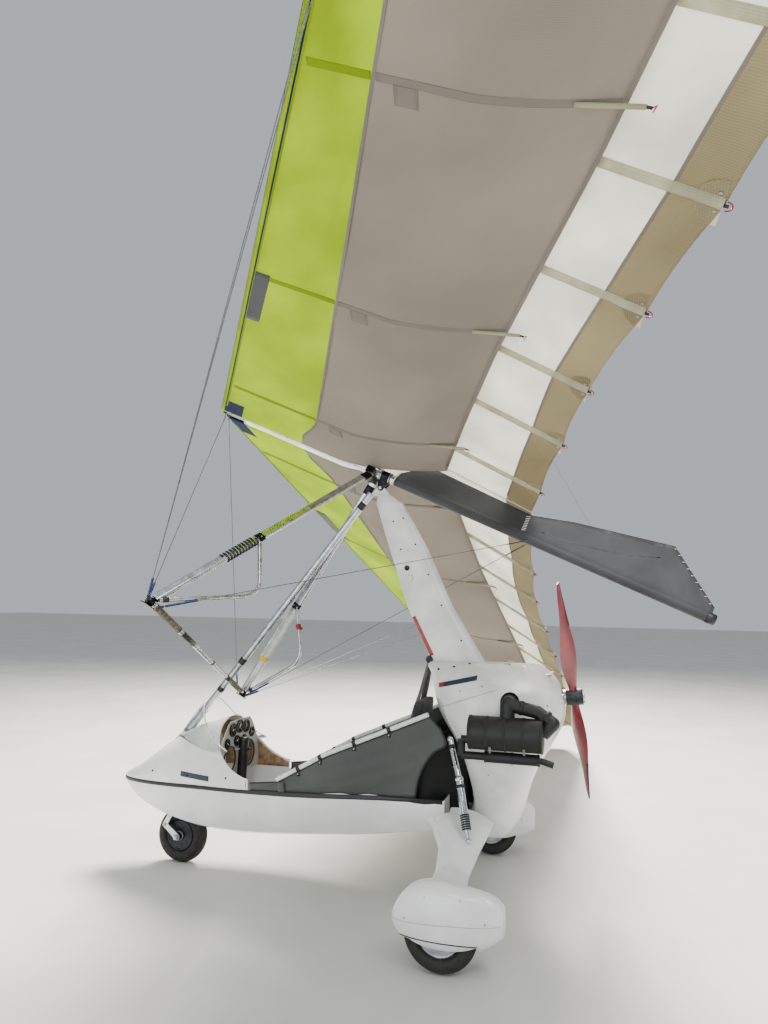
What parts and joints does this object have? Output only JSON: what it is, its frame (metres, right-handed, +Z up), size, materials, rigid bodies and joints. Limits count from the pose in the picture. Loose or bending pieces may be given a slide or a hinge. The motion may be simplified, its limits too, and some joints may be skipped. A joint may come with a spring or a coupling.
{
  "type": "microlight trike",
  "caption": "Flex-wing weight-shift microlight with a faired open tandem pod, pusher propeller, spatted wheels and a banked, double-surface wing on its pylon.",
  "frame": {"origin": "on the ground under the middle of the whole machine's box", "axes": "+X forward, +Y to port, +Z up"},
  "size_m": [4.2032, 8.9317, 4.031],
  "materials": {
    "white_gelcoat": "gloss",
    "clear_sheet": "polished",
    "grey_panel": "satin",
    "steel": "satin",
    "white_steel": "gloss",
    "seat_cloth": "matte",
    "panel_cloth": "matte",
    "engine": "satin",
    "shaft_steel": "satin",
    "black_exhaust": "matte",
    "chrome": "polished",
    "tyre": "matte",
    "rim": "satin",
    "crimson_blade": "gloss",
    "hub_grey": "satin",
    "alloy_tube": "satin",
    "black_bracket": "satin",
    "stay_wire": "satin",
    "sail_top": "matte",
    "sail_under": "matte",
    "pocket_cloth": "matte"
  },
  "bodies": {
    "trike": {"engine_block": "engine", "engine_cowling": "white_gelcoat", "exhaust": "black_exhaust", "front_strut": "alloy_tube", "instrument_panel": "grey_panel", "main_leg_left": "white_gelcoat", "main_leg_right": "white_gelcoat", "nose_cone": "white_gelcoat", "pod_lower": "white_gelcoat", "prop_shaft": "shaft_steel", "pylon_fairing": "white_gelcoat", "pylon_head": "white_steel", "seat_front": "seat_cloth", "seat_rear": "seat_cloth", "side_panel_left": "panel_cloth", "side_panel_right": "panel_cloth", "side_rail_left": "white_steel", "side_rail_right": "white_steel", "spat_left": "white_gelcoat", "spat_right": "white_gelcoat", "steering_head": "steel", "stub_axle_left": "shaft_steel", "stub_axle_right": "shaft_steel", "suspension_strut_left": "chrome", "suspension_strut_right": "chrome", "trike_beam": "steel", "windscreen": "clear_sheet"},
    "nose_fork": {"nose_fork": "shaft_steel"},
    "nose_wheel": {"tyre_nose": "tyre", "rim_nose": "rim"},
    "main_wheel_left": {"tyre_left": "tyre", "rim_left": "rim"},
    "main_wheel_right": {"tyre_right": "tyre", "rim_right": "rim"},
    "propeller": {"prop_hub": "hub_grey", "prop_blades": "crimson_blade"},
    "hang_bracket": {"hang_bracket": "black_bracket"},
    "wing": {"keel_tube": "alloy_tube", "apex_bracket": "black_bracket", "nose_plate": "alloy_tube", "leading_edge_left": "alloy_tube", "leading_edge_right": "alloy_tube", "cross_tube_left": "alloy_tube", "cross_tube_right": "alloy_tube", "upright_left": "alloy_tube", "upright_right": "alloy_tube", "training_bar_left": "alloy_tube", "training_bar_right": "alloy_tube", "base_bar": "alloy_tube", "corner_knuckles": "black_bracket", "king_post": "alloy_tube", "keel_pocket": "pocket_cloth", "sail_upper_left": "sail_top", "sail_upper_right": "sail_top", "sail_lower_left": "sail_under", "sail_lower_right": "sail_under", "lower_stays": "stay_wire", "upper_stays": "stay_wire"}
  },
  "joints": [
    {"name": "steering", "type": "hinge", "parent": "trike", "child": "nose_fork", "pos_m": [1.68755, 0.12959, 0.33], "axis": [-0.2588, 0, 0.9659], "range_deg": [-25, 25]},
    {"name": "nose_wheel_spin", "type": "hinge", "parent": "nose_fork", "child": "nose_wheel", "pos_m": [1.66155, 0.12959, 0.165], "axis": [0, 1, 0], "continuous": true},
    {"name": "main_wheel_left_spin", "type": "hinge", "parent": "trike", "child": "main_wheel_left", "pos_m": [-0.16245, 0.92559, 0.17], "axis": [0, 1, 0], "continuous": true},
    {"name": "main_wheel_right_spin", "type": "hinge", "parent": "trike", "child": "main_wheel_right", "pos_m": [-0.16245, -0.66641, 0.17], "axis": [0, 1, 0], "continuous": true},
    {"name": "propeller_spin", "type": "hinge", "parent": "trike", "child": "propeller", "pos_m": [-0.73545, 0.12959, 1.136], "axis": [-0.9947, 0, 0.1028], "continuous": true},
    {"name": "wing_pitch", "type": "hinge", "parent": "trike", "child": "hang_bracket", "pos_m": [0.39806, 0.12959, 2.33187], "axis": [0, 1, 0], "range_deg": [0, 20]},
    {"name": "wing_roll", "type": "hinge", "parent": "hang_bracket", "child": "wing", "pos_m": [0.42155, 0.12959, 2.425], "axis": [-0.91, 0, -0.4147], "range_deg": [0, 48]}
  ]
}
